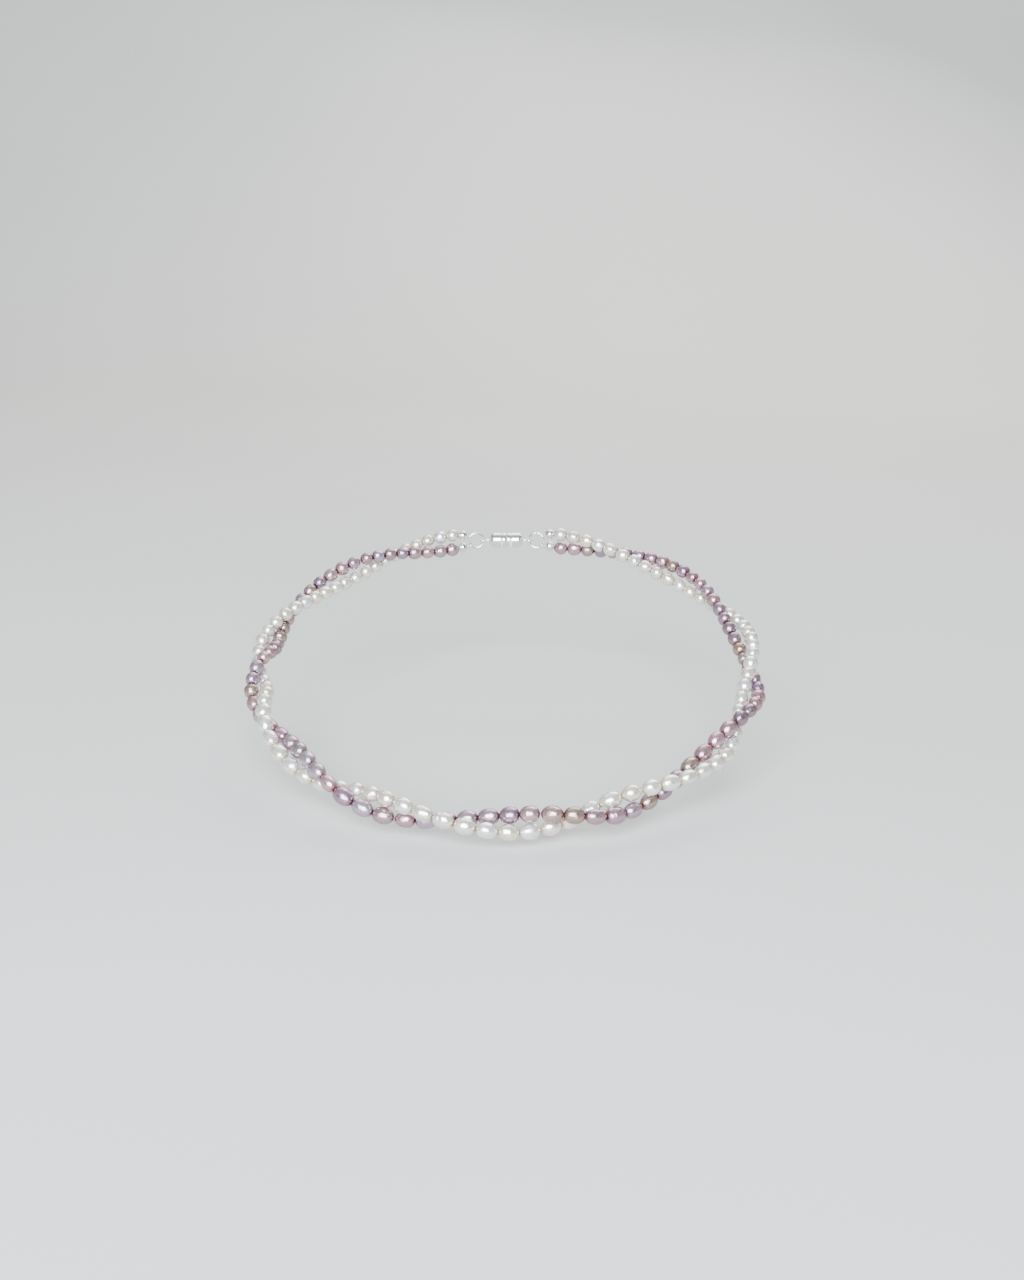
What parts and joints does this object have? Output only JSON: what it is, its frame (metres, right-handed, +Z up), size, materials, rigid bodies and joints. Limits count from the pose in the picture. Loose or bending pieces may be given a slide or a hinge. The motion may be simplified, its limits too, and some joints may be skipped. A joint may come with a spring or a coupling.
{
  "type": "pearl necklace",
  "caption": "Short necklace of two strands of rice pearls, one cream and one mauve, twisted together, with a magnetic clasp at the nape.",
  "frame": {"origin": "centre of the neck opening, at mid height of the worn loop", "axes": "+X to the wearer's left, -Y to the wearer's front, +Z up"},
  "size_m": [0.1623, 0.1367, 0.0577],
  "materials": {
    "white_pearl": "cream white nacre with a high lustre",
    "mauve_pearl": "mauve, lavender and taupe nacre with a high lustre",
    "white_silk": "twisted silk",
    "mauve_silk": "twisted silk",
    "silver": "polished silver",
    "magnet": "nickel-plated disc magnet"
  },
  "bodies": {
    "section_01": {"white_pearls_01": "white_pearl", "white_thread_01": "white_silk", "mauve_pearls_01": "mauve_pearl", "mauve_thread_01": "mauve_silk", "white_bead_tip_left": "silver", "mauve_bead_tip_left": "silver"},
    "section_02": {"white_pearls_02": "white_pearl", "white_thread_02": "white_silk", "mauve_pearls_02": "mauve_pearl", "mauve_thread_02": "mauve_silk"},
    "section_03": {"white_pearls_03": "white_pearl", "white_thread_03": "white_silk", "mauve_pearls_03": "mauve_pearl", "mauve_thread_03": "mauve_silk"},
    "section_04": {"white_pearls_04": "white_pearl", "white_thread_04": "white_silk", "mauve_pearls_04": "mauve_pearl", "mauve_thread_04": "mauve_silk"},
    "section_05": {"white_pearls_05": "white_pearl", "white_thread_05": "white_silk", "mauve_pearls_05": "mauve_pearl", "mauve_thread_05": "mauve_silk"},
    "section_06": {"white_pearls_06": "white_pearl", "white_thread_06": "white_silk", "mauve_pearls_06": "mauve_pearl", "mauve_thread_06": "mauve_silk"},
    "section_07": {"white_pearls_07": "white_pearl", "white_thread_07": "white_silk", "mauve_pearls_07": "mauve_pearl", "mauve_thread_07": "mauve_silk"},
    "section_08": {"white_pearls_08": "white_pearl", "white_thread_08": "white_silk", "mauve_pearls_08": "mauve_pearl", "mauve_thread_08": "mauve_silk"},
    "section_09": {"white_pearls_09": "white_pearl", "white_thread_09": "white_silk", "mauve_pearls_09": "mauve_pearl", "mauve_thread_09": "mauve_silk"},
    "section_10": {"white_pearls_10": "white_pearl", "white_thread_10": "white_silk", "mauve_pearls_10": "mauve_pearl", "mauve_thread_10": "mauve_silk"},
    "section_11": {"white_pearls_11": "white_pearl", "white_thread_11": "white_silk", "mauve_pearls_11": "mauve_pearl", "mauve_thread_11": "mauve_silk"},
    "section_12": {"white_pearls_12": "white_pearl", "white_thread_12": "white_silk", "mauve_pearls_12": "mauve_pearl", "mauve_thread_12": "mauve_silk", "white_bead_tip_right": "silver", "mauve_bead_tip_right": "silver"},
    "ring_left": {"jump_ring_left": "silver"},
    "clasp_left": {"clasp_cup_left": "silver", "clasp_magnet_left": "magnet"},
    "ring_right": {"jump_ring_right": "silver"},
    "clasp_right": {"clasp_cup_right": "silver", "clasp_magnet_right": "magnet"}
  },
  "joints": [
    {"name": "flex_06", "type": "hinge", "parent": "section_07", "child": "section_06", "pos_m": [-0.0312, -0.0589, -0.0219], "axis": [0, 0, 1], "range_deg": [0, 30]},
    {"name": "flex_05", "type": "hinge", "parent": "section_06", "child": "section_05", "pos_m": [-0.056, -0.0431, -0.0171], "axis": [0, 0, 1], "range_deg": [0, 30]},
    {"name": "flex_04", "type": "hinge", "parent": "section_05", "child": "section_04", "pos_m": [-0.0738, -0.017, -0.0084], "axis": [0, 0, 1], "range_deg": [0, 30]},
    {"name": "flex_03", "type": "hinge", "parent": "section_04", "child": "section_03", "pos_m": [-0.0776, 0.0027, -0.0012], "axis": [0, 0, 1], "range_deg": [0, 30]},
    {"name": "flex_02", "type": "hinge", "parent": "section_03", "child": "section_02", "pos_m": [-0.0737, 0.0232, 0.0069], "axis": [0, 0, 1], "range_deg": [0, 30]},
    {"name": "flex_01", "type": "hinge", "parent": "section_02", "child": "section_01", "pos_m": [-0.05, 0.051, 0.0189], "axis": [0, 0, 1], "range_deg": [0, 30]},
    {"name": "flex_07", "type": "hinge", "parent": "section_07", "child": "section_08", "pos_m": [0.0099, -0.0644, -0.023], "axis": [0, 0, -1], "range_deg": [0, 30]},
    {"name": "flex_08", "type": "hinge", "parent": "section_08", "child": "section_09", "pos_m": [0.0387, -0.0554, -0.0198], "axis": [0, 0, -1], "range_deg": [0, 30]},
    {"name": "flex_09", "type": "hinge", "parent": "section_09", "child": "section_10", "pos_m": [0.0686, -0.0276, -0.0103], "axis": [0, 0, -1], "range_deg": [0, 30]},
    {"name": "flex_10", "type": "hinge", "parent": "section_10", "child": "section_11", "pos_m": [0.0776, 0.0015, 0.0004], "axis": [0, 0, -1], "range_deg": [0, 30]},
    {"name": "flex_11", "type": "hinge", "parent": "section_11", "child": "section_12", "pos_m": [0.0639, 0.039, 0.0152], "axis": [0, 0, -1], "range_deg": [0, 30]},
    {"name": "ring_swing_left", "type": "hinge", "parent": "section_01", "child": "ring_left", "pos_m": [-0.0126, 0.0643, 0.0251], "axis": [0, 0, 1], "range_deg": [0, 25]},
    {"name": "clasp_swing_left", "type": "hinge", "parent": "ring_left", "child": "clasp_left", "pos_m": [-0.008, 0.065, 0.0251], "axis": [0, 0, 1], "range_deg": [0, 25]},
    {"name": "ring_swing_right", "type": "hinge", "parent": "section_12", "child": "ring_right", "pos_m": [0.0126, 0.0643, 0.0251], "axis": [0, 0, -1], "range_deg": [0, 25]},
    {"name": "clasp_swing_right", "type": "hinge", "parent": "ring_right", "child": "clasp_right", "pos_m": [0.008, 0.065, 0.0251], "axis": [0, 0, -1], "range_deg": [0, 25]}
  ]
}
